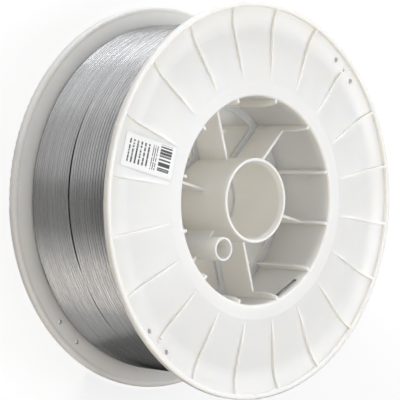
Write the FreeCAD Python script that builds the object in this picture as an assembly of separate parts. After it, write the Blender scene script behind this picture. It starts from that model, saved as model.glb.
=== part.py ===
"""A welding wire spool: two like plastic mouldings joined at mid-width, wound full of wire.

Millimetres. The spool lies on its back flange, with its axis along Z and its front flange
up. The origin is on the axis at mid-width. Angles turn about the axis from +X towards +Y,
and a depth is measured from the front flange's outer face down towards mid-width.
"""
import FreeCAD, Part
import math
import os

Vector = FreeCAD.Vector

# Overall
flange_diameter = 270.0
overall_width = 101.0
drive_angle = 226.7             # where the drive hole lies, about the axis

# Flange
opening_diameter = 141.5        # the flange's opening is the barrel's inside
mouth_radius = 1.6
ring_width = 9.75               # flat ring round the opening
dish_width = 16.2               # hollow part of the panel, up to the rim
cone_drop = 4.4                 # how far the sloping part between them sinks
panel_thickness = 3.2
rim_width = 3.8
rim_height = 2.4                # the rim's inner wall, above the panel's outer edge
rim_front_radius = 1.2
rim_back_radius = 2.4
fin_count = 20
fin_thickness = 1.8
fin_height = 1.9                # above the sloping panel
fin_below_face = 0.25           # where the panel comes up to the ring
fin_into_rim = 0.4

# Wire holes in the flange, a pair each side of the drive direction and of its opposite
wire_hole_diameter = 3.4
wire_hole_from_edge = 8.5
wire_hole_half_angle = 4.75
dimple_diameter = 2.2
dimple_depth = 1.0
fin_end_gap = 1.9               # between a short fin's end and the dimple

# Barrel and the ridges along its inside
barrel_wall = 2.5
ridge_count = 12
ridge_height = 4.55
ridge_mouth_height = 2.45       # a ridge narrows to this at the mouth
ridge_mouth_length = 11.5
ridge_mouth_curve = 0.3         # share of that narrowing left half way along it
ridge_below_face = 0.5
spoke_thickness = 1.8

# Hub, spokes and drive tube
hub_bore_diameter = 52.0
hub_wall = 2.8
hub_below_face = 2.4
hub_lead_width = 1.1
hub_lead_length = 4.0
hub_edge_radius = 0.5
spoke_count = 6
spoke_below_face = 22.5
spoke_corner_radius = 1.5
drive_distance = 44.5
drive_hole_diameter = 11.0
drive_mouth_diameter = 13.3
drive_mouth_length = 12.0
drive_tube_diameter = 15.8
drive_below_face = 1.5

# Plate across each half at mid-width, with a window in each bay
plate_thickness = 1.5
window_barrel_margin = 5.75
window_spoke_margin = 5.0
window_hub_margin = 4.0
window_corner_radius = 3.0
drive_collar_width = 2.5

# Wire
wire_diameter = 1.2
winding_from_edge = 13.2        # how far the wound wire stays inside the flange's edge
winding_clearance = 0.2
open_line_width = 0.9           # gap between two turns of the outermost layer
open_line_place = 0.53          # share of its turns on the front side of the gap
start_angle_from_drive = 73.3   # middle of the wire's inner end
start_half_angle = 8.3
start_depth = 6.6
start_hole_clearance = 0.8
start_clearance = 0.05

# Label
label_bay_count = 16            # bays from the drive hole round to the label
label_thickness = 0.2
label_ring_gap = 1.7
label_rim_gap = 8.2
label_fin_gap = 1.1
label_skew_angle = 1.8

# Worked out from the sizes above
half_width = overall_width / 2
flange_radius = flange_diameter / 2
opening_radius = opening_diameter / 2
barrel_radius = opening_radius + barrel_wall
hub_radius = hub_bore_diameter / 2 + hub_wall
hub_middle = hub_radius - hub_wall / 2
barrel_middle = opening_radius + barrel_wall / 2
ring_radius = opening_radius + ring_width
rim_foot_radius = flange_radius - rim_width
cone_radius = rim_foot_radius - dish_width
rim_back_depth = rim_height + panel_thickness
ridge_radius = opening_radius - ridge_height
wire_hole_radius = flange_radius - wire_hole_from_edge
winding_radius = flange_radius - winding_from_edge
fin_pitch = 360.0 / fin_count
overlap = 1.0                   # how far a cutting tool reaches past what it cuts


def dish_circle():
    """Centre and radius of the arc from the cone up to the rim, in radius and depth."""
    slope = math.atan2(cone_drop, cone_radius - ring_radius)
    across = rim_foot_radius - cone_radius
    rise = cone_drop - rim_height
    normal = (math.sin(slope), -math.cos(slope))
    reach = across * normal[0] - rise * normal[1]
    radius = (across ** 2 + rise ** 2) / (2 * reach)
    return cone_radius + normal[0] * radius, cone_drop + normal[1] * radius, radius


def panel_depth(radius):
    """Depth of the panel's outer surface at a radius."""
    if radius <= ring_radius:
        return 0.0
    if radius <= cone_radius:
        return cone_drop * (radius - ring_radius) / (cone_radius - ring_radius)
    centre_radius, centre_depth, bend = dish_circle()
    return centre_depth + math.sqrt(bend ** 2 - (radius - centre_radius) ** 2)


def at(radius, depth):
    """Point of a half section, in the XZ plane."""
    return Vector(radius, 0, half_width - depth)


def line(start, end):
    return Part.LineSegment(start, end).toShape()


def arc(start, middle, end):
    return Part.Arc(start, middle, end).toShape()


def chain(points):
    """Straight edges through the points, in order."""
    return [line(first, second) for first, second in zip(points, points[1:])]


def corner(centre_radius, centre_depth, bend, start_angle_deg, end_angle_deg):
    """Quarter round of a half section, by its centre, radius and two angles."""
    places = []
    for angle in (start_angle_deg, (start_angle_deg + end_angle_deg) / 2, end_angle_deg):
        turn = math.radians(angle)
        places.append(at(centre_radius + bend * math.cos(turn), centre_depth + bend * math.sin(turn)))
    return arc(*places)


def dish(below, inner, outer):
    """Edge that follows the dished panel between two radii, a distance below its surface."""
    middle = (inner + outer) / 2
    return arc(
        at(inner, panel_depth(inner) + below),
        at(middle, panel_depth(middle) + below),
        at(outer, panel_depth(outer) + below),
    )


def face_of(edges):
    return Part.Face(Part.Wire(Part.__sortEdges__(edges)))


def turned(edges):
    """Solid of revolution about the spool's axis."""
    return Part.Solid(face_of(edges).revolve(Vector(0, 0, 0), Vector(0, 0, 1), 360))


def placed(shape, angle):
    """Turn a shape drawn along +X to an angle about the axis."""
    turned_shape = shape.copy()
    turned_shape.rotate(Vector(0, 0, 0), Vector(0, 0, 1), angle)
    return turned_shape


def radial_plate(edges, thickness):
    """Flat plate in a plane through the axis, drawn along +X."""
    plate = face_of(edges).extrude(Vector(0, thickness, 0))
    plate.translate(Vector(0, -thickness / 2, 0))
    return plate


def axial_rod(radius, distance, angle, start_depth_mm, end_depth_mm):
    """Cylinder parallel to the axis, between two depths."""
    length = end_depth_mm - start_depth_mm
    rod = Part.makeCylinder(radius, length, at(distance, start_depth_mm), Vector(0, 0, -1))
    return placed(rod, angle)


def flange_and_barrel():
    front = rim_front_radius
    back = rim_back_radius
    panel_back_edge = at(rim_foot_radius, rim_back_depth)
    edges = [
        corner(opening_radius + mouth_radius, mouth_radius, mouth_radius, 180, 270),
        line(at(opening_radius + mouth_radius, 0), at(ring_radius, 0)),
        line(at(ring_radius, 0), at(cone_radius, cone_drop)),
        dish(0, cone_radius, rim_foot_radius),
        line(at(rim_foot_radius, rim_height), at(rim_foot_radius, front)),
        corner(rim_foot_radius + front, front, front, 180, 270),
        line(at(rim_foot_radius + front, 0), at(flange_radius - front, 0)),
        corner(flange_radius - front, front, front, 270, 360),
        line(at(flange_radius, front), at(flange_radius, rim_back_depth - back)),
        corner(flange_radius - back, rim_back_depth - back, back, 0, 90),
        line(at(flange_radius - back, rim_back_depth), panel_back_edge),
        dish(panel_thickness, cone_radius, rim_foot_radius),
    ]
    edges += chain([
        at(cone_radius, cone_drop + panel_thickness),
        at(ring_radius, panel_thickness),
        at(barrel_radius, panel_thickness),
        at(barrel_radius, half_width),
        at(opening_radius, half_width),
        at(opening_radius, mouth_radius),
    ])
    return turned(edges)


def flange_fin(outer_radius):
    """Low rib that follows the panel, and starts just below the face of the ring."""
    sunk = panel_thickness / 2
    half_way = (cone_radius + outer_radius) / 2
    slope = cone_drop / (cone_radius - ring_radius)
    start_radius = ring_radius + (fin_height + fin_below_face) / slope
    under = [at(radius, panel_depth(radius) + sunk) for radius in (outer_radius, half_way)]
    return radial_plate([
        line(at(ring_radius, fin_below_face), at(start_radius, fin_below_face)),
        line(at(start_radius, fin_below_face), at(cone_radius, cone_drop - fin_height)),
        dish(-fin_height, cone_radius, outer_radius),
    ] + chain([
        at(outer_radius, panel_depth(outer_radius) - fin_height),
        *under,
        at(cone_radius, cone_drop + sunk),
        at(ring_radius, sunk),
        at(ring_radius, fin_below_face),
    ]), fin_thickness)


def ridge_edges(end_depth):
    """Inner outline of a ridge, from the barrel's wall at the mouth down to a depth."""
    mouth_top = opening_radius - ridge_mouth_height
    mouth_end = ridge_below_face + ridge_mouth_length
    middle = at(
        ridge_radius + (mouth_top - ridge_radius) * ridge_mouth_curve,
        (ridge_below_face + mouth_end) / 2,
    )
    return [
        line(at(barrel_middle, ridge_below_face), at(mouth_top, ridge_below_face)),
        arc(at(mouth_top, ridge_below_face), middle, at(ridge_radius, mouth_end)),
        line(at(ridge_radius, mouth_end), at(ridge_radius, end_depth)),
    ]


def ridge():
    edges = ridge_edges(half_width)
    edges += chain([
        at(ridge_radius, half_width),
        at(barrel_middle, half_width),
        at(barrel_middle, ridge_below_face),
    ])
    return radial_plate(edges, spoke_thickness)


def spoke():
    """Web from the hub to the barrel that runs on to the mouth as a ridge."""
    bend = spoke_corner_radius
    edges = ridge_edges(spoke_below_face - bend)
    edges.append(corner(ridge_radius - bend, spoke_below_face - bend, bend, 0, 90))
    edges += chain([
        at(ridge_radius - bend, spoke_below_face),
        at(hub_middle, spoke_below_face),
        at(hub_middle, half_width),
        at(barrel_middle, half_width),
        at(barrel_middle, ridge_below_face),
    ])
    return radial_plate(edges, spoke_thickness)


def hub():
    bore = hub_bore_diameter / 2
    soft = hub_edge_radius
    lead_radius = bore + hub_lead_width
    edges = [corner(hub_radius - soft, hub_below_face + soft, soft, 270, 360)]
    edges += chain([
        at(hub_radius, hub_below_face + soft),
        at(hub_radius, half_width),
        at(bore, half_width),
        at(bore, hub_below_face + hub_lead_length),
        at(lead_radius, hub_below_face),
        at(hub_radius - soft, hub_below_face),
    ])
    return turned(edges)


def window():
    """Cutter for one bay of the mid-width plate, drawn along +X."""
    inner = hub_radius + window_hub_margin
    outer = opening_radius - window_barrel_margin
    half_bay = 180.0 / spoke_count
    half_inner = math.radians(half_bay) - math.asin(window_spoke_margin / inner)
    half_outer = math.radians(half_bay) - math.asin(window_spoke_margin / outer)
    start = half_width - plate_thickness - overlap

    def on_circle(radius, turn):
        return Vector(radius * math.cos(turn), radius * math.sin(turn), half_width - start)

    edges = [
        arc(on_circle(inner, -half_inner), on_circle(inner, 0), on_circle(inner, half_inner)),
        line(on_circle(inner, half_inner), on_circle(outer, half_outer)),
        arc(on_circle(outer, half_outer), on_circle(outer, 0), on_circle(outer, -half_outer)),
        line(on_circle(outer, -half_outer), on_circle(inner, -half_inner)),
    ]
    block = face_of(edges).extrude(Vector(0, 0, -plate_thickness - 2 * overlap))
    upright = [edge for edge in block.Edges if abs(edge.tangentAt(edge.FirstParameter).z) > 0.99]
    return block.makeFillet(window_corner_radius, upright)


def mid_plate():
    """Thin plate that ties hub, spokes and barrel at mid-width, open in every bay."""
    top = half_width - plate_thickness
    disc = turned(chain([
        at(hub_middle, top),
        at(barrel_middle, top),
        at(barrel_middle, half_width),
        at(hub_middle, half_width),
        at(hub_middle, top),
    ]))
    bay = 360.0 / spoke_count
    cutter = window()
    windows = [placed(cutter, drive_angle + bay * (number + 0.5)) for number in range(spoke_count)]
    return disc.cut(windows)


def drive_bore():
    """Cutter for the drive hole, with its tapered mouth."""
    hole = axial_rod(drive_hole_diameter / 2, drive_distance, drive_angle, 0, half_width + overlap)
    mouth = Part.makeCone(
        drive_mouth_diameter / 2,
        drive_hole_diameter / 2,
        drive_mouth_length,
        at(drive_distance, drive_below_face),
        Vector(0, 0, -1),
    )
    return [hole, placed(mouth, drive_angle)]


def wire_holes():
    """Cutters for the flange's two pairs of wire holes and the dimple between each pair."""
    cutters = []
    depth = rim_back_depth + cone_drop + overlap
    for side in (0, 180):
        middle = drive_angle + side
        for turn in (-wire_hole_half_angle, wire_hole_half_angle):
            cutters.append(axial_rod(wire_hole_diameter / 2, wire_hole_radius, middle + turn, -overlap, depth))
        bottom = panel_depth(wire_hole_radius) + dimple_depth
        cutters.append(axial_rod(dimple_diameter / 2, wire_hole_radius, middle, -overlap, bottom))
    return cutters


def moulding():
    """The front half of the spool, in one piece."""
    pieces = [hub(), mid_plate()]
    pieces += [placed(spoke(), drive_angle + 360.0 / spoke_count * number) for number in range(spoke_count)]
    pitch = 360.0 / ridge_count
    per_spoke = ridge_count // spoke_count
    for number in range(ridge_count):
        if number % per_spoke:
            pieces.append(placed(ridge(), drive_angle + pitch * number))
    short_end = wire_hole_radius - dimple_diameter / 2 - fin_end_gap
    long_end = rim_foot_radius + fin_into_rim
    for number in range(fin_count):
        end = short_end if number % (fin_count // 2) == 0 else long_end
        pieces.append(placed(flange_fin(end), drive_angle + fin_pitch * number))
    tube = drive_tube_diameter / 2
    pieces.append(axial_rod(tube, drive_distance, drive_angle, drive_below_face, half_width))
    collar_start = half_width - plate_thickness
    collar = tube + drive_collar_width
    pieces.append(axial_rod(collar, drive_distance, drive_angle, collar_start, half_width))
    body = flange_and_barrel().fuse(pieces)
    return body.cut(drive_bore() + wire_holes()).removeSplitter()


def turned_over(shape):
    """The same moulding as the other half: turned about the drive direction."""
    turn = math.radians(drive_angle)
    other = shape.copy()
    other.rotate(Vector(0, 0, 0), Vector(math.cos(turn), math.sin(turn), 0), 180)
    return other


def start_places():
    """The two angles at which the wire's inner end passes through the barrel."""
    middle = drive_angle + start_angle_from_drive
    return middle - start_half_angle, middle + start_half_angle


def radial_rod(radius, angle, inner, outer):
    rod = Part.makeCylinder(radius, outer - inner, at(inner, start_depth), Vector(1, 0, 0))
    return placed(rod, angle)


def wire_turns(valley, start_depth_mm, end_depth_mm):
    """Backs of the outermost turns, each half a hexagon, with one line left open between them."""
    width = end_depth_mm - start_depth_mm - open_line_width
    count = int(width / wire_diameter)
    pitch = width / count
    before_line = round(count * open_line_place)
    edges = []
    depth = start_depth_mm
    for number in range(count):
        if number == before_line:
            floor = valley - wire_diameter / 2
            far = depth + open_line_width
            edges += chain([at(valley, depth), at(floor, depth), at(floor, far), at(valley, far)])
            depth = far
        edges += chain([
            at(valley, depth),
            at(winding_radius, depth + pitch / 4),
            at(winding_radius, depth + pitch * 3 / 4),
            at(valley, depth + pitch),
        ])
        depth += pitch
    return edges


def winding():
    """The wound wire as one turned ring, its ends following the flanges' panels."""
    below = panel_thickness + winding_clearance
    bore = barrel_radius + winding_clearance
    valley = winding_radius - wire_diameter / 2 * math.cos(math.radians(30))
    front = [
        line(at(bore, below), at(ring_radius, below)),
        line(at(ring_radius, below), at(cone_radius, cone_drop + below)),
        dish(below, cone_radius, valley),
    ]
    back = [edge.mirror(Vector(0, 0, 0), Vector(0, 0, 1)) for edge in front]
    edge_depth = panel_depth(valley) + below
    outside = wire_turns(valley, edge_depth, overall_width - edge_depth)
    inside = line(at(bore, below), at(bore, overall_width - below))
    return turned(front + outside + back + [inside])


def wire_start():
    """The wire's inner end, laid along the barrel's inside between its two holes."""
    radius = wire_diameter / 2
    inside = opening_radius - radius - start_clearance
    outside = barrel_radius
    first, last = start_places()
    corners = []
    for angle in (first, last):
        turn = math.radians(angle)
        corners.append(Vector(inside * math.cos(turn), inside * math.sin(turn), half_width - start_depth))
    run = corners[1] - corners[0]
    pieces = [Part.makeCylinder(radius, run.Length, corners[0], run)]
    for angle, place in zip((first, last), corners):
        ball = Part.makeSphere(radius)
        ball.translate(place)
        pieces.append(ball)
        pieces.append(radial_rod(radius, angle, inside, outside))
    return pieces[0].fuse(pieces[1:]).removeSplitter()


def paper_label():
    """Thin label that lies on the dished panel in the bay between two fins."""
    inner = ring_radius + label_ring_gap
    outer = rim_foot_radius - label_rim_gap
    half_pitch = math.radians(fin_pitch / 2)
    bay_half_width = (inner * math.sin(half_pitch) - fin_thickness / 2) / math.cos(half_pitch)
    half_label = bay_half_width - label_fin_gap
    skin = turned([
        line(at(opening_radius, 0), at(ring_radius, 0)),
        line(at(ring_radius, 0), at(cone_radius, cone_drop)),
        dish(0, cone_radius, rim_foot_radius),
        line(at(rim_foot_radius, rim_height), at(rim_foot_radius, rim_height - label_thickness)),
        dish(-label_thickness, cone_radius, rim_foot_radius),
        line(at(cone_radius, cone_drop - label_thickness), at(ring_radius, -label_thickness)),
        line(at(ring_radius, -label_thickness), at(opening_radius, -label_thickness)),
        line(at(opening_radius, -label_thickness), at(opening_radius, 0)),
    ])
    height = cone_drop * 2 + overlap
    sheet = Part.makeBox(outer - inner, half_label * 2, height)
    sheet.translate(Vector((inner - outer) / 2, -half_label, half_width + overlap - height))
    sheet.rotate(Vector(0, 0, 0), Vector(0, 0, 1), label_skew_angle)
    sheet.translate(Vector((inner + outer) / 2, 0, 0))
    return skin.common(placed(sheet, drive_angle + fin_pitch * (label_bay_count + 0.5)))


front_half = moulding()
back_half = turned_over(front_half)
front_half = front_half.cut([
    radial_rod((wire_diameter + start_hole_clearance) / 2, angle, opening_radius - overlap, barrel_radius + overlap)
    for angle in start_places()
])

nodes = {
    "front_half": front_half,
    "back_half": back_half,
    "wire_winding": winding(),
    "wire_start": wire_start(),
    "paper_label": paper_label(),
}

os.makedirs("parts", exist_ok=True)
for name, shape in nodes.items():
    if shape.ShapeType == "Compound" and len(shape.Solids) == 1:
        shape = shape.Solids[0]
    shape.exportStep(f"parts/{name}.step")
    print(name, shape.ShapeType, len(shape.Solids), "solid", round(shape.Volume / 1000, 1), "cm3", shape.isValid())
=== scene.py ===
import math

import bmesh
import bpy
from mathutils import Matrix, Vector, noise


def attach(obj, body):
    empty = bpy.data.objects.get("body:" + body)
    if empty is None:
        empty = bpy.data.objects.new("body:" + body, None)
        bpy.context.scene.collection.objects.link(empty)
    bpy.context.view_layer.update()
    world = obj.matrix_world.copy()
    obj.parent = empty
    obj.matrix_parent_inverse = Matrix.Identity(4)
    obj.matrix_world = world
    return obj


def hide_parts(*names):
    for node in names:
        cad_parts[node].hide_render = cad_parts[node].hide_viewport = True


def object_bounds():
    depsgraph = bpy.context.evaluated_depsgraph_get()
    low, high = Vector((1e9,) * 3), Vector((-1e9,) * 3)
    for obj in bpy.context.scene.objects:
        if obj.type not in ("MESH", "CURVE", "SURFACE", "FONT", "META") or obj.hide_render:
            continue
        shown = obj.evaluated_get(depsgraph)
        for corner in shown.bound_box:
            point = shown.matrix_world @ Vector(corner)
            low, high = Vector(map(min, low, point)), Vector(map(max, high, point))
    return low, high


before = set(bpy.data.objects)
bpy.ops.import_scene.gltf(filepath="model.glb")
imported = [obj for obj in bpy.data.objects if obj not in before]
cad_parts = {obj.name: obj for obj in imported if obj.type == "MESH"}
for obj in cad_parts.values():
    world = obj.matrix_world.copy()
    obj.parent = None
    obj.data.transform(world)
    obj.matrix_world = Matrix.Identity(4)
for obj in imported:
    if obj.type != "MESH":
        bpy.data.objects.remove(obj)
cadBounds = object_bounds()
print("frame loaded")

scene = bpy.context.scene
scene.view_settings.view_transform = "Standard"

millimetre = 0.001


# Shader maths: a socket that takes part in plain arithmetic, and the maker that adds nodes

class Socket:
    def __init__(self, maker, output):
        self.maker = maker
        self.output = output

    def maths(self, operation, first, second=0.0):
        return self.maker.add("Math", {"operation": operation}, {0: first, 1: second})

    def __add__(self, other):
        return self.maths("ADD", self, other)

    def __radd__(self, other):
        return self.maths("ADD", other, self)

    def __sub__(self, other):
        return self.maths("SUBTRACT", self, other)

    def __rsub__(self, other):
        return self.maths("SUBTRACT", other, self)

    def __mul__(self, other):
        return self.maths("MULTIPLY", self, other)

    def __rmul__(self, other):
        return self.maths("MULTIPLY", other, self)

    def __truediv__(self, other):
        return self.maths("DIVIDE", self, other)

    def __rtruediv__(self, other):
        return self.maths("DIVIDE", other, self)

    def __pow__(self, other):
        return self.maths("POWER", self, other)

    def __abs__(self):
        return self.maths("ABSOLUTE", self)

    def cosine(self):
        return self.maths("COSINE", self)

    def __gt__(self, other):
        return self.maths("GREATER_THAN", self, other)

    def __lt__(self, other):
        return self.maths("LESS_THAN", self, other)


class NodeMaker:
    def __init__(self, tree):
        self.tree = tree
        tree.nodes.clear()

    def add(self, kind, settings=None, values=None, output=0):
        node = self.tree.nodes.new("ShaderNode" + kind)
        for name, value in (settings or {}).items():
            setattr(node, name, value)
        for name, value in (values or {}).items():
            if isinstance(value, Socket):
                self.tree.links.new(value.output, node.inputs[name])
            else:
                node.inputs[name].default_value = value
        return Socket(self, node.outputs[output]) if node.outputs else None

    def place(self):
        return self.add("TexCoord", output="Object")

    def parts(self, vector):
        split = self.add("SeparateXYZ", values={"Vector": vector})
        return [Socket(self, split.output.node.outputs[axis]) for axis in "XYZ"]

    def stretched(self, vector, scale):
        return self.add("Mapping", values={"Vector": vector, "Scale": scale})

    def flat(self, x, y):
        return self.add("CombineXYZ", values={"X": x, "Y": y})

    def noise(self, vector, scale, detail=3.0, roughness=0.5):
        return self.add("TexNoise", values={
            "Vector": vector, "Scale": scale, "Detail": detail, "Roughness": roughness,
        })

    def band(self, value, low, high):    # 0 below low, 1 above high, smooth between them
        return self.add("MapRange", {"interpolation_type": "SMOOTHSTEP"}, {
            "Value": value, "From Min": low, "From Max": high,
        })

    def blend(self, share, first, second):
        return self.add("Mix", {"data_type": "RGBA"}, {0: share, 6: first, 7: second}, output=2)

    def bump(self, height, strength, distance):
        return self.add("Bump", values={"Height": height, "Strength": strength, "Distance": distance})

    def surface(self, shader):
        self.add("OutputMaterial", values={"Surface": shader})


def newMaterial(name):
    material = bpy.data.materials.new(name)
    material.use_nodes = True
    return material, NodeMaker(material.node_tree)


def dress(piece, material):
    piece.data.materials.clear()
    piece.data.materials.append(material)


def colour(red, green, blue):
    return (red, green, blue, 1.0)


# Spool plastic: pale moulded plastic, a little translucent, with fine ripple and faint scuffs

plastic = {
    "clean": colour(0.885, 0.867, 0.825),
    "shade": colour(0.82, 0.795, 0.74),
    "scuff": colour(0.62, 0.60, 0.56),
    "mottleScale": 14.0,
    "mottleShare": 0.35,
    "speckScale": 420.0,
    "speckShare": 0.10,
    "scratchScale": 160.0,
    "scratchStretch": (1, 1, 9),    # scratches run round the rim
    "scuffShare": 0.30,
    "rimStart": 130.5 * millimetre,
    "rimEnd": 134.5 * millimetre,
    "roughness": 0.34,
    "mottleRoughness": 0.08,        # added where the plastic is mottled or scuffed
    "scuffRoughness": 0.2,
    "refraction": 1.49,
    "subsurface": 0.85,
    "subsurfaceDepth": 6.0 * millimetre,
    "subsurfaceTint": (1.0, 0.9, 0.75),
    "rippleScale": 75.0,
    "rippleDepth": 0.05 * millimetre,
    "rippleStrength": 0.35,
    "grainScale": 900.0,            # fine grain within the ripple
    "grainShare": 0.06,
}


def plasticMaterial():
    material, maker = newMaterial("mouldedPlastic")
    place = maker.place()
    x, y, z = maker.parts(place)
    radius = (x * x + y * y) ** 0.5
    mottle = maker.band(maker.noise(place, plastic["mottleScale"], 3.0, 0.55), 0.35, 0.72)
    speck = maker.band(maker.noise(place, plastic["speckScale"], 2.0, 0.6), 0.68, 0.80)
    rim = maker.band(radius, plastic["rimStart"], plastic["rimEnd"])
    scratchPlace = maker.stretched(place, plastic["scratchStretch"])
    scratches = maker.noise(scratchPlace, plastic["scratchScale"], 4.0, 0.65)
    scuffed = rim * maker.band(scratches, 0.56, 0.74)
    base = maker.blend(mottle * plastic["mottleShare"], plastic["clean"], plastic["shade"])
    worn = speck * plastic["speckShare"] + scuffed * plastic["scuffShare"]
    base = maker.blend(worn, base, plastic["scuff"])
    rougher = mottle * plastic["mottleRoughness"] + scuffed * plastic["scuffRoughness"]
    grain = maker.noise(place, plastic["grainScale"], 2.0, 0.5)
    ripple = maker.noise(place, plastic["rippleScale"], 2.0, 0.4) + grain * plastic["grainShare"]
    shader = maker.add("BsdfPrincipled", {"subsurface_method": "RANDOM_WALK"}, {
        "Base Color": base,
        "Roughness": plastic["roughness"] + rougher,
        "IOR": plastic["refraction"],
        "Subsurface Weight": plastic["subsurface"],
        "Subsurface Radius": plastic["subsurfaceTint"],
        "Subsurface Scale": plastic["subsurfaceDepth"],
        "Normal": maker.bump(ripple, plastic["rippleStrength"], plastic["rippleDepth"]),
    })
    maker.surface(shader)
    return material


# Drawn steel wire, and how it is wound

steel = {
    "bright": colour(0.35, 0.35, 0.35),
    "dull": colour(0.29, 0.288, 0.284),
    "inner": colour(0.12, 0.118, 0.115),    # painted shade: the same steel painted much darker for the layers below and the inner end, so the gaps between turns look shadowed
    "paintedShadeDull": colour(0.06, 0.058, 0.055),
    "roughness": 0.22,
    "roughnessSpread": 0.08,
    "drawLines": 0.006 * millimetre,
    "drawLineStrength": 0.3,
    "streakAround": 0.5,    # how fast the tone changes along a wire, and from turn to turn
    "streakAcross": 0.45,
    "fineAround": 0.9,
    "fineAcross": 6.0,
}

winding = {
    "wireDiameter": 1.2 * millimetre,
    "seatDepth": 0.05 * millimetre,       # how far the turns sink into the layer below
    "stepsPerTurn": 120,
    "wireSides": 8,
    "lineWidth": 1.3 * millimetre,        # open line between two turns near mid-width, at its widest
    "lineShift": 1.6 * millimetre,        # how far the line lies from mid-width towards the back flange
    "lineOpenAt": math.radians(190),
    "lineOpenWaves": (0.6, 0.7, 3),       # middle, height and count of the waves in which the line opens
    "lineClosedAt": math.radians(206.5),
    "lineClosedSharpness": 160,           # the more, the fewer degrees in which the turns touch
    "lineWaves": ((1.7 * millimetre, 1, math.radians(22)), (1.5 * millimetre, 3, math.radians(49))),
    "unevenSpacing": 0.04 * millimetre,
    "spacingChanges": (1.7, 0.9),         # how fast the spacing changes round the ring and from turn to turn
    "unevenHeight": 0.02 * millimetre,
    "heightChanges": (2.3, 0.8),
    "everyOtherDepth": 0.2 * millimetre,  # how far every other turn sinks on the side with the open line
    "endClearance": 0.1 * millimetre,
}


def wireMaterial(name, bright, dull, halfWidth):
    material, maker = newMaterial(name)
    x, y, z = maker.parts(maker.place())
    around = maker.add("Math", {"operation": "ARCTAN2"}, {0: y, 1: x})
    turn = turnAt(around, z, halfWidth)
    streakPlace = maker.flat(around * steel["streakAround"], turn * steel["streakAcross"])
    finePlace = maker.flat(around * steel["fineAround"], turn * steel["fineAcross"])
    streak = maker.noise(streakPlace, 1.0, 4.0, 0.75)
    fine = maker.noise(finePlace, 1.0, 2.0, 0.6)
    dullness = maker.band(streak, 0.34, 0.66)
    base = maker.blend(dullness, bright, dull)
    shader = maker.add("BsdfPrincipled", values={
        "Base Color": base,
        "Metallic": 1.0,
        "Roughness": steel["roughness"] + maker.band(fine, 0.3, 0.7) * steel["roughnessSpread"],
        "Normal": maker.bump(fine, steel["drawLineStrength"], steel["drawLines"]),
    })
    maker.surface(shader)
    return material


def turnAt(around, z, halfWidth):    # the number of the turn there, so that streaks run along the wire
    waves = [height * (around * count + shift).cosine() for height, count, shift in winding["lineWaves"]]
    bowed = 1 - (z / halfWidth) ** 2.0
    return (z - bowed * (sum(waves) - winding["lineShift"])) / winding["wireDiameter"]


# Label paper, printed as a blank form: rows of broken rules and a barred patch

paper = {
    "white": colour(0.98, 0.98, 0.975),
    "ink": colour(0.05, 0.05, 0.055),
    "roughness": 0.6,
    "fibreScale": 900.0,
    "fibreShade": 0.06,
    "fibreDepth": 0.03 * millimetre,
    "turn": math.radians(165.5),    # direction from the label's inner end to its outer end
    "rules": (    # outer and inner place along the label, pitch, share of the pitch, half length
        (16.5 * millimetre, -1.5 * millimetre, 3.0 * millimetre, 0.42, 7.6 * millimetre),
        (-2.2 * millimetre, -7.0 * millimetre, 1.6 * millimetre, 0.40, 8.0 * millimetre),
    ),
    "patchShift": -1.4 * millimetre,
    "patchMiddle": -13.0 * millimetre,
    "patchHalfLength": 4.6 * millimetre,
    "patchHalfWidth": 8.8 * millimetre,
    "barPitch": 1.0 * millimetre,
    "dashesPerMetre": 900.0,
    "dashFrom": 0.40,    # the more, the shorter the dashes and the thinner the bars
    "barFrom": 0.46,
}


def paperMaterial(node):
    material, maker = newMaterial("labelPaper")
    place = maker.place()
    fibres = maker.noise(place, paper["fibreScale"], 4.0, 0.7)
    base = maker.blend(maker.band(fibres, 0.3, 0.8) * paper["fibreShade"], paper["white"], paper["ink"])
    base = maker.blend(formPrint(maker, place, node), base, paper["ink"])
    shader = maker.add("BsdfPrincipled", values={
        "Base Color": base,
        "Roughness": paper["roughness"],
        "Normal": maker.bump(fibres, 0.3, paper["fibreDepth"]),
    })
    maker.surface(shader)
    return material


def formPrint(maker, place, node):    # 1 where the paper is inked
    middleX, middleY = middleOf(node, 0), middleOf(node, 1)
    x, y, z = maker.parts(place)
    cosine, sine = math.cos(paper["turn"]), math.sin(paper["turn"])
    along = (x - middleX) * cosine + (y - middleY) * sine
    across = (y - middleY) * cosine - (x - middleX) * sine
    ink = 0.0
    for outer, inner, pitch, width, reach in paper["rules"]:
        row = along / pitch
        line = row.maths("FLOOR", row)
        dashes = maker.noise(maker.flat(across * paper["dashesPerMetre"], line * 7.3), 1.0, 1.0)
        block = (along > inner) * (along < outer) * (abs(across) < reach)
        ink = block * (row - line < width) * (dashes > paper["dashFrom"]) + ink
    bars = maker.noise(maker.flat(across / paper["barPitch"], 4.7), 1.0, 1.0)
    lengthways = abs(along - paper["patchMiddle"]) < paper["patchHalfLength"]
    crossways = abs(across - paper["patchShift"]) < paper["patchHalfWidth"]
    patch = lengthways * crossways * (bars > paper["barFrom"])
    return ink.maths("MAXIMUM", ink, patch)


def middleOf(node, axis):
    places = [vert.co[axis] for vert in node.data.vertices]
    return (min(places) + max(places)) / 2


# Winding: the top layer of wire as one helix over the body of the winding

def windingBody(source, name, material):    # the ring drawn in by one wire, so the top layer lies on it
    mesh = bmesh.new()
    mesh.from_mesh(source.data)
    bmesh.ops.remove_doubles(mesh, verts=mesh.verts, dist=0.001 * millimetre)
    reach = max(math.hypot(vert.co.x, vert.co.y) for vert in mesh.verts)
    limit = reach - winding["wireDiameter"] + winding["seatDepth"]
    for vert in mesh.verts:
        radius = math.hypot(vert.co.x, vert.co.y)
        if radius > limit:
            vert.co.x *= limit / radius
            vert.co.y *= limit / radius
    bmesh.ops.dissolve_limit(mesh, angle_limit=math.radians(0.5), verts=mesh.verts, edges=mesh.edges)
    return finished(mesh, name, material, smooth=False)


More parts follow.
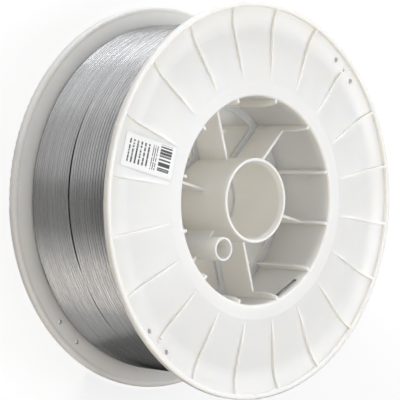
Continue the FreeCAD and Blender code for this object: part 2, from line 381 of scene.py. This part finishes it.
def finished(mesh, name, material, smooth=True):
    for face in mesh.faces:
        face.smooth = smooth
    data = bpy.data.meshes.new(name)
    mesh.to_mesh(data)
    mesh.free()
    piece = bpy.data.objects.new(name, data)
    scene.collection.objects.link(piece)
    dress(piece, material)
    return piece


def topLayer(source, name, material):
    corners = [vert.co for vert in source.data.vertices]
    wire = winding["wireDiameter"]
    reach = max(math.hypot(corner.x, corner.y) for corner in corners)
    shoulder = max(corner.z for corner in corners if math.hypot(corner.x, corner.y) > reach - wire * 0.55)
    span = 2 * (shoulder - winding["endClearance"]) - wire - winding["lineWidth"]
    turns = int(span / wire)
    stepsPerTurn = winding["stepsPerTurn"]
    sides = winding["wireSides"]
    loop = oneTurn(reach - wire / 2, span / turns)
    mesh = bmesh.new()
    for turn in range(turns):
        before = len(mesh.verts)
        mesh.from_mesh(loop)
        for number, vert in enumerate(mesh.verts[before:]):
            step = turn * stepsPerTurn + number // sides
            share = step / (turns * stepsPerTurn)
            layTurn(vert, step / stepsPerTurn, turn * span / turns - span / 2, share * 2 - 1)
    bmesh.ops.remove_doubles(mesh, verts=mesh.verts, dist=0.001 * millimetre)
    bmesh.ops.holes_fill(mesh, edges=[edge for edge in mesh.edges if edge.is_boundary], sides=sides)
    bmesh.ops.recalc_face_normals(mesh, faces=mesh.faces)
    return finished(mesh, name, material)


def oneTurn(radius, pitch):    # starts at height 0 on the +X side
    mesh = bmesh.new()
    bmesh.ops.create_circle(mesh, segments=winding["wireSides"], radius=winding["wireDiameter"] / 2)
    upright = Matrix.Translation((radius, 0, 0)) @ Matrix.Rotation(math.pi / 2, 4, "X")
    bmesh.ops.transform(mesh, matrix=upright, verts=mesh.verts)
    steps = winding["stepsPerTurn"]
    bmesh.ops.spin(
        mesh, geom=mesh.verts[:] + mesh.edges[:], cent=(0, 0, 0), axis=(0, 0, 1),
        dvec=(0, 0, pitch / steps), angle=2 * math.pi, steps=steps,
    )
    data = bpy.data.meshes.new("one_turn")
    mesh.to_mesh(data)
    mesh.free()
    return data


def layTurn(vert, turns, lift, place):    # moves a point to its turn, beside the open line as it wanders
    angle = 2 * math.pi * turns
    outward = Vector((math.cos(angle), math.sin(angle), 0))
    wander = sum(height * math.cos(waves * angle + shift) for height, waves, shift in winding["lineWaves"])
    uneven = change(outward, turns, winding["spacingChanges"], 0) * winding["unevenSpacing"]
    sunk = abs(change(outward, turns, winding["heightChanges"], 5)) * winding["unevenHeight"]
    sunk += (0.5 + 0.5 * math.sin(math.pi * turns)) * winding["everyOtherDepth"]
    middle, height, count = winding["lineOpenWaves"]
    openness = min(1, max(0, middle + height * math.cos(count * (angle - winding["lineOpenAt"]))))
    openness *= 1 - max(0, math.cos(angle - winding["lineClosedAt"])) ** winding["lineClosedSharpness"]
    side = 1 if place > 0 else -1
    vert.co.z += lift + (1 - place * place) * (wander - winding["lineShift"] + uneven)
    vert.co.z += side * openness * winding["lineWidth"] / 2
    vert.co -= outward * sunk


def change(outward, turns, speeds, shift):    # -1 to 1, slowly changing round the ring and over the turns
    around, across = speeds
    return noise.noise(outward * around + Vector((shift, 0, turns * across)))


plasticFinish = plasticMaterial()
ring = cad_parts["wire_winding"]
halfWidth = max(vert.co.z for vert in ring.data.vertices)
wireFinish = wireMaterial("drawnSteel", steel["bright"], steel["dull"], halfWidth)
# painted shade: a dark copy of the wire steel, for the layers below and the inner end of the wire
paintedShadeFinish = wireMaterial("paintedShadeSteel", steel["inner"], steel["paintedShadeDull"], halfWidth)
paperFinish = paperMaterial(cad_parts["paper_label"])

for name in ("front_half", "back_half"):
    dress(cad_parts[name], plasticFinish)
# painted shade: the inner end of the wire gets the dark painted-shade steel
dress(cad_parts["wire_start"], paintedShadeFinish)
dress(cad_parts["paper_label"], paperFinish)
print("materials ready")

# painted shade: the body under the top layer is painted dark, so the gaps between turns look deep and
# shadowed
body = windingBody(ring, "winding_body", paintedShadeFinish)
layer = topLayer(ring, "winding_top_layer", wireFinish)
for piece in (body, layer):
    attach(piece, "root")
    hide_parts("wire_winding")
print("winding ready")


# Studio: floor, world, lamps and camera

studio = {
    "floorSize": 12.0,
    "floorShade": 0.28,
    "floorGlow": 0.78,
    "worldShade": colour(0.295, 0.278, 0.255),
    "lampDistance": 1.5,
    "boardSteps": 12,
    "boardShade": colour(0.03, 0.03, 0.03),
    "lampTint": (0.93, 0.955, 1.0),
    "warmTint": (1.0, 0.93, 0.84),
    "fillTint": (1.0, 0.98, 0.95),
    "fillPower": 0.034,
    "fillWidth": 0.117,
    "fillClearance": 1 * millimetre,
}


def seenRays(maker):    # 1 where the camera, a mirror or clear stuff sees the floor or the world
    rays = maker.add("LightPath").output.node.outputs
    seen = Socket(maker, rays["Is Camera Ray"])
    for kind in ("Is Glossy Ray", "Is Transmission Ray"):
        seen = seen.maths("MAXIMUM", seen, Socket(maker, rays[kind]))
    return seen


def floorMaterial():
    material, maker = newMaterial("studioFloor")
    seen = seenRays(maker)
    grey = studio["floorShade"]
    matte = maker.add("BsdfDiffuse", values={"Color": colour(grey, grey, grey)})
    glow = maker.add("Emission", values={"Color": colour(1, 1, 1), "Strength": seen * studio["floorGlow"]})
    maker.surface(maker.add("AddShader", values={0: matte, 1: glow}))
    return material


def studioFloor(height):
    mesh = bmesh.new()
    bmesh.ops.create_grid(mesh, x_segments=1, y_segments=1, size=studio["floorSize"] / 2)
    bmesh.ops.translate(mesh, verts=mesh.verts, vec=(0, 0, height))
    floor = finished(mesh, "studio_floor", floorMaterial(), smooth=False)


def darkBoard(name, start, end, foot, top):    # stands in the studio so that the wire shows dark bands
    mesh = bmesh.new()
    low, high = (mesh.verts.new((-away, 0, cadBounds[0][2] + height)) for away, height in (foot, top))
    edge = mesh.edges.new((low, high))
    bmesh.ops.rotate(mesh, verts=mesh.verts, matrix=Matrix.Rotation(-math.radians(start), 3, "Z"))
    bmesh.ops.spin(
        mesh, geom=[low, high, edge], cent=(0, 0, 0), axis=(0, 0, 1),
        angle=-math.radians(end - start), steps=studio["boardSteps"],
    )
    board = finished(mesh, name, boardMaterial())
    board.visible_camera = False
    board.visible_shadow = False


def boardMaterial():
    material, maker = newMaterial("darkBoard")
    maker.surface(maker.add("BsdfDiffuse", values={"Color": studio["boardShade"]}))
    return material


def studioWorld():
    world = bpy.data.worlds.new("studioWorld")
    world.use_nodes = True
    scene.world = world
    maker = NodeMaker(world.node_tree)
    shade = maker.blend(seenRays(maker), studio["worldShade"], colour(1, 1, 1))
    sky = maker.add("Background", values={"Color": shade, "Strength": 1.0})
    maker.add("OutputWorld", values={"Surface": sky})


def lampAt(name, place, aim, size, power, tint):
    lamp = bpy.data.lights.new(name, "AREA")
    lamp.shape = "RECTANGLE"
    lamp.size, lamp.size_y = size
    lamp.energy = power
    lamp.color = tint
    holder = bpy.data.objects.new(name, lamp)
    holder.location = place
    holder.rotation_euler = Vector(aim).to_track_quat("-Z", "Y").to_euler()
    holder.visible_camera = False
    scene.collection.objects.link(holder)


def softbox(name, turn, height, size, power, tint="lampTint"):
    turn, height = math.radians(turn), math.radians(height)
    away = Vector((-math.cos(turn) * math.cos(height), math.sin(turn) * math.cos(height), math.sin(height)))
    lampAt(name, away * studio["lampDistance"], -away, size, power, studio[tint])


def fillBelow(floorHeight):    # light that reaches the inside of the spool from behind
    place = (0, 0, floorHeight + studio["fillClearance"])
    size = (studio["fillWidth"], studio["fillWidth"])
    lampAt("fillBelow", place, (0, 0, 1), size, studio["fillPower"], studio["fillTint"])


boards = {    # the same turns as the lamps; foot and top are distances from the axis and heights
    "nearBoard": {"start": -17, "end": 9, "foot": (0.3, 0.001), "top": (1.0, 0.9)},
    "farBoard": {"start": 200, "end": 298, "foot": (0.137, 0.0005), "top": (1.2, 0.5)},
}

lamps = {    # turn is about +Z from -X towards +Y, height is above the floor, both in degrees
    "overheadBox": {"turn": 0, "height": 88, "size": (0.5, 0.5), "power": 2.8},
    "farBox": {"turn": 180, "height": 58, "size": (0.7, 0.7), "power": 8.8},
    "sideBox": {"turn": 270, "height": 75, "size": (0.7, 0.7), "power": 3.0},
    "upperBox": {"turn": 60, "height": 30, "size": (0.7, 0.5), "power": 1.3},
    "nearBox": {"turn": 30, "height": 38, "size": (0.7, 0.5), "power": 1.6},
    "lowBox": {"turn": 315, "height": 30, "size": (0.7, 0.5), "power": 1.6, "tint": "warmTint"},
    "topStrip": {"turn": 90, "height": 5, "size": (0.8, 0.24), "power": 10.5},
    "upperStrip": {"turn": 60, "height": 5, "size": (0.8, 0.24), "power": 3.6},
    "lowStrip": {"turn": 315, "height": 5, "size": (0.8, 0.24), "power": 4.6, "tint": "warmTint"},
}

floorHeight = cadBounds[0][2]
studioFloor(floorHeight)
studioWorld()
for name, lamp in lamps.items():
    softbox(name, **lamp)
fillBelow(floorHeight)
for name, board in boards.items():
    darkBoard(name, **board)
print("studio ready")

view = {
    "place": (-0.96138, 0.02329, 1.00521),
    "backwards": (-0.68854, 0.01736, 0.72499),
    "upwards": (0.0, 0.99971, -0.02394),
    "lens": 180.18,
    "sensor": 36.0,
}


def photoCamera():
    camera = bpy.data.cameras.new("photoCamera")
    camera.sensor_width = view["sensor"]
    camera.lens = view["lens"]
    holder = bpy.data.objects.new("photoCamera", camera)
    back = Vector(view["backwards"]).normalized()
    right = Vector(view["upwards"]).cross(back).normalized()
    turn = Matrix((right, back.cross(right), back)).transposed()
    holder.matrix_world = Matrix.Translation(view["place"]) @ turn.to_4x4()
    scene.collection.objects.link(holder)
    scene.camera = holder


photoCamera()

print("camera ready")
